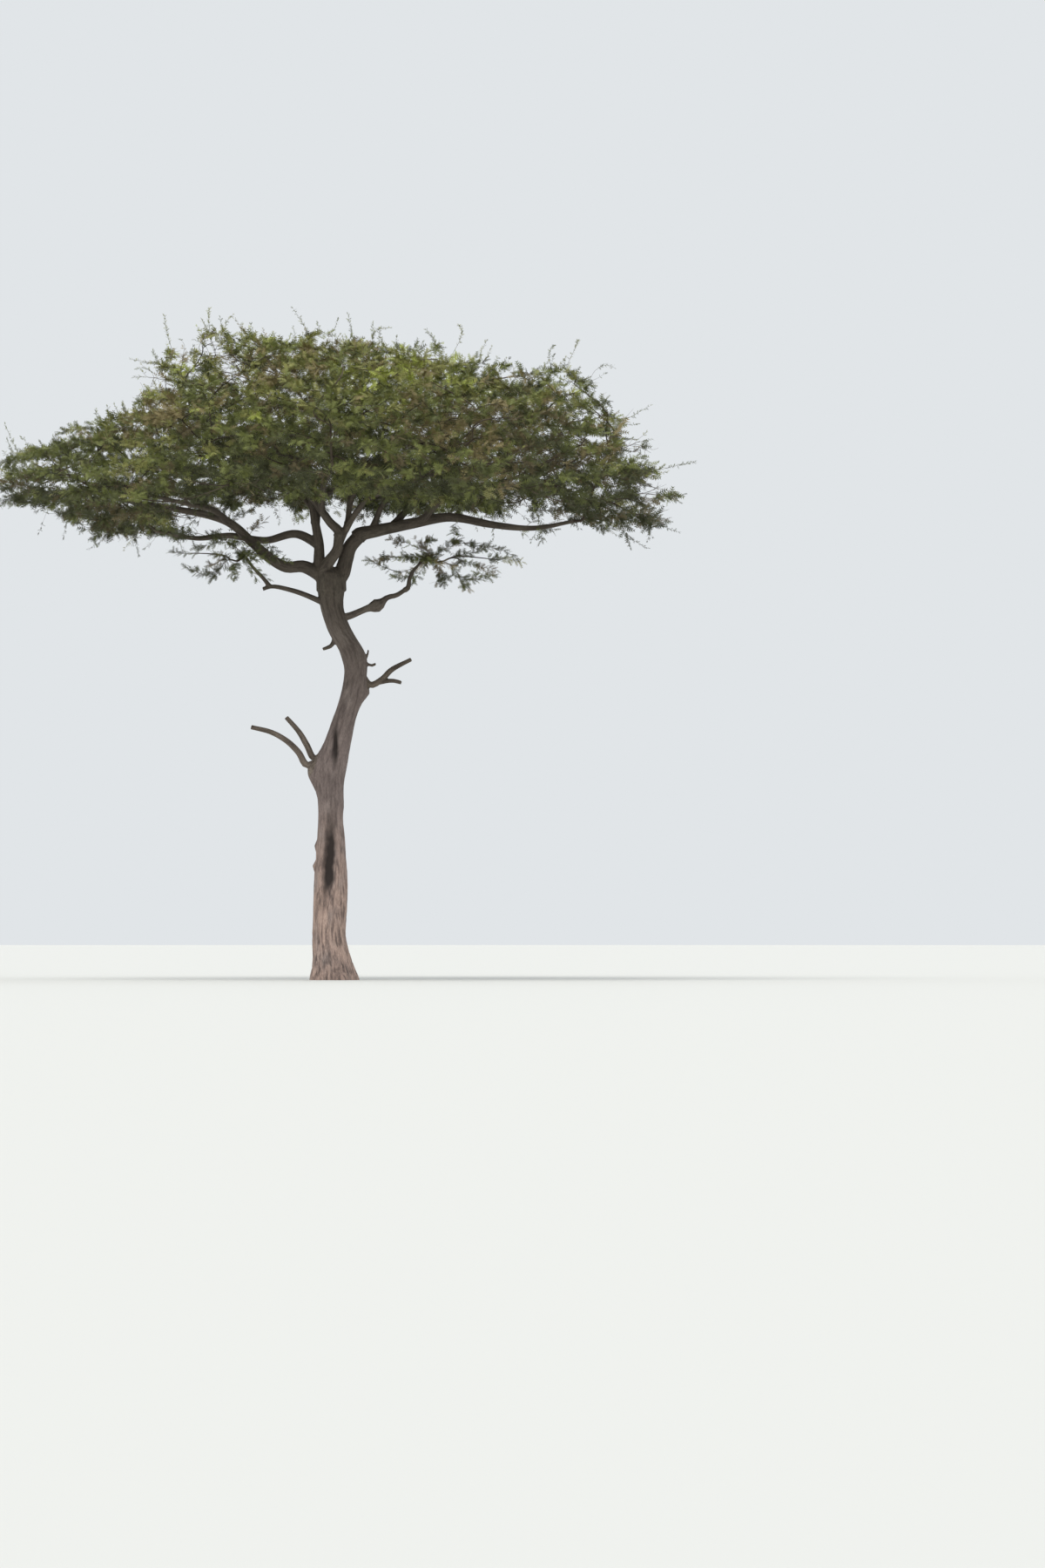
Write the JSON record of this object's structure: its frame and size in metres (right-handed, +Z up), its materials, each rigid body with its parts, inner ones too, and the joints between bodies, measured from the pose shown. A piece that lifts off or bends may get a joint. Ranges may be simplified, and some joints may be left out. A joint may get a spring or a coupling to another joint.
{
  "type": "acacia tree",
  "caption": "Flat-topped acacia tree with a leaning trunk, spreading boughs, dead side limbs and a wide layered crown of fine foliage, fixed at a flat cut at ground level.",
  "frame": {"origin": "the flat cut under the trunk, at ground level, below the fork", "axes": "+Z up, +X to the right in the pictured front view, +Y away from the viewer"},
  "size_m": [10.429, 8.6261, 10],
  "materials": {
    "bark": "rough grey-brown fissured bark",
    "dead_wood": "weathered dead wood",
    "foliage": "fine olive-green leaves on thin twigs"
  },
  "bodies": {
    "root": {"bough_back": "bark", "bough_back_left": "bark", "bough_back_right": "bark", "bough_front": "bark", "bough_front_left": "bark", "bough_front_right": "bark", "bough_inner_back_left": "bark", "bough_inner_back_right": "bark", "bough_inner_front_left": "bark", "bough_inner_front_right": "bark", "bough_inner_left": "bark", "bough_inner_right": "bark", "bough_left": "bark", "bough_left_back": "bark", "bough_left_front": "bark", "bough_middle": "bark", "bough_right": "bark", "bough_right_back": "bark", "bough_right_front": "bark", "centre_limb": "bark", "dead_left_long": "dead_wood", "dead_left_short": "dead_wood", "dead_right": "dead_wood", "dead_right_prong": "dead_wood", "foliage_back": "foliage", "foliage_back_left": "foliage", "foliage_back_right": "foliage", "foliage_front": "foliage", "foliage_front_left": "foliage", "foliage_front_right": "foliage", "foliage_inner_back_left": "foliage", "foliage_inner_back_right": "foliage", "foliage_inner_front_left": "foliage", "foliage_inner_front_right": "foliage", "foliage_inner_left": "foliage", "foliage_inner_right": "foliage", "foliage_left": "foliage", "foliage_left_back": "foliage", "foliage_left_front": "foliage", "foliage_low_left": "foliage", "foliage_low_right": "foliage", "foliage_middle": "foliage", "foliage_right": "foliage", "foliage_right_back": "foliage", "foliage_right_front": "foliage", "left_stem": "bark", "low_left_branch": "bark", "low_left_riser": "bark", "low_right_branch": "bark", "low_right_riser": "bark", "right_leader": "bark", "slant_stem": "bark", "spur_right": "dead_wood", "stub_left": "dead_wood", "stub_right": "dead_wood", "trunk": "bark", "upright_stem": "bark"}
  },
  "joints": []
}
